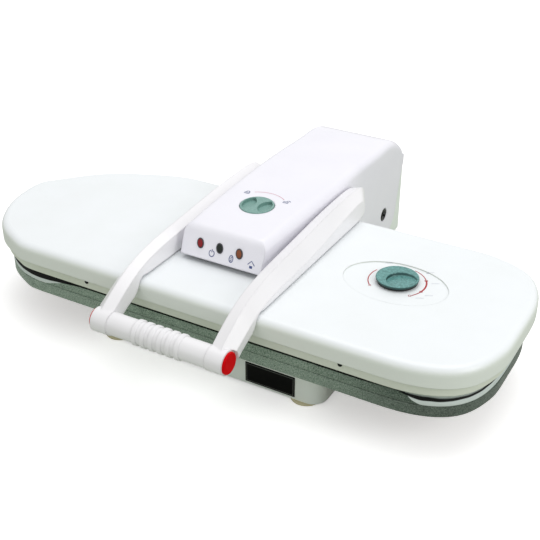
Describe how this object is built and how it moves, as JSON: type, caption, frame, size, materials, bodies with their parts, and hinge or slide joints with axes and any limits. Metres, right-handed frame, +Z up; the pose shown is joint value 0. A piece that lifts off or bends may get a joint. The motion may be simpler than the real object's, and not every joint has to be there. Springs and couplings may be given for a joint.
{
  "type": "steam ironing press",
  "caption": "Tabletop steam ironing press with a wide heated plate under a white cover, a padded board, a lever handle and a rear hinge.",
  "frame": {"origin": "centre of the footprint of the whole part, at the table under the feet", "axes": "X along the long plates (nose at -X), Y from the handle to the hinge, Z up"},
  "size_m": [0.64, 0.5024, 0.152],
  "materials": {
    "white_casing": "moulded, faint green-white",
    "lavender_casing": "moulded, faint lavender white",
    "dark_plastic": "fine grain",
    "cream_rubber": "soft feet",
    "beige_casting": "coated aluminium casting",
    "plated_steel": "zinc plated",
    "bright_steel": "ground steel",
    "bronze": "sintered bushes",
    "felt": "grey-green felt edge",
    "fibre_board": "pressed fibre board",
    "silver_cloth": "aluminised cotton cloth",
    "teal_knob": "moulded teal",
    "red_plastic": "moulded red",
    "red_lens": "dark red lens",
    "green_lens": "dark green lens",
    "amber_lens": "amber lens",
    "tank_plastic": "natural polypropylene",
    "pump_body": "small pump",
    "hose_rubber": "silicone hose"
  },
  "bodies": {
    "base": {"base_shell": "white_casing", "base_plate": "dark_plastic", "rear_cover": "white_casing", "feet": "cream_rubber", "hinge_bracket": "plated_steel", "pivot_axle": "bright_steel", "link_anchor": "plated_steel", "lift_springs": "bright_steel", "board_tray": "fibre_board", "board_felt": "felt", "board_pad": "silver_cloth", "label_plate": "dark_plastic", "cord_gland": "dark_plastic"},
    "head": {"cover_shell": "white_casing", "sole_plate": "beige_casting", "heating_element": "bright_steel", "cover_posts": "plated_steel", "thermostat": "plated_steel", "thermal_fuse": "tank_plastic", "arm_housing": "lavender_casing", "housing_underside": "dark_plastic", "saddle": "dark_plastic", "saddle_posts": "plated_steel", "head_frame": "plated_steel", "pivot_bushes": "bronze", "pivot_caps": "bright_steel", "water_reservoir": "tank_plastic", "pump": "pump_body", "steam_hose": "hose_rubber", "control_board": "dark_plastic", "lamp_red": "red_lens", "lamp_green": "green_lens", "lamp_amber": "amber_lens", "lamp_bezels": "dark_plastic", "skirt_screws": "plated_steel"},
    "handle": {"handle_arm_left": "lavender_casing", "handle_arm_right": "lavender_casing", "grip": "lavender_casing", "grip_cap_left": "red_plastic", "grip_cap_right": "red_plastic", "handle_shaft": "bright_steel", "crank": "plated_steel"},
    "link": {"pressure_link": "plated_steel"},
    "lock": {"lock_knob": "teal_knob"},
    "dial": {"dial_knob": "teal_knob"}
  },
  "joints": [
    {"name": "head_hinge", "type": "hinge", "parent": "base", "child": "head", "pos_m": [0, 0.18825, 0.05], "axis": [-1, 0, 0], "range_deg": [0, 40]},
    {"name": "handle_hinge", "type": "hinge", "parent": "head", "child": "handle", "pos_m": [0, 0.07025, 0.127], "axis": [-1, 0, 0], "range_deg": [0, 34]},
    {"name": "link_hinge", "type": "hinge", "parent": "handle", "child": "link", "pos_m": [0, 0.0787, 0.14289], "axis": [1, 0, 0], "range_deg": [0, 34.5]},
    {"name": "lock_turn", "type": "hinge", "parent": "head", "child": "lock", "pos_m": [0, -0.04425, 0.14957], "axis": [0, -0.0436, 0.999], "range_deg": [0, 90]},
    {"name": "dial_turn", "type": "hinge", "parent": "head", "child": "dial", "pos_m": [0.176, -0.05025, 0.1068], "axis": [0, 0, -1], "range_deg": [0, 270]}
  ],
  "couplings": [
    {"joint": "handle_hinge", "follows": "head_hinge", "ratio": 0.8356},
    {"joint": "link_hinge", "follows": "head_hinge", "ratio": 0.8473}
  ]
}
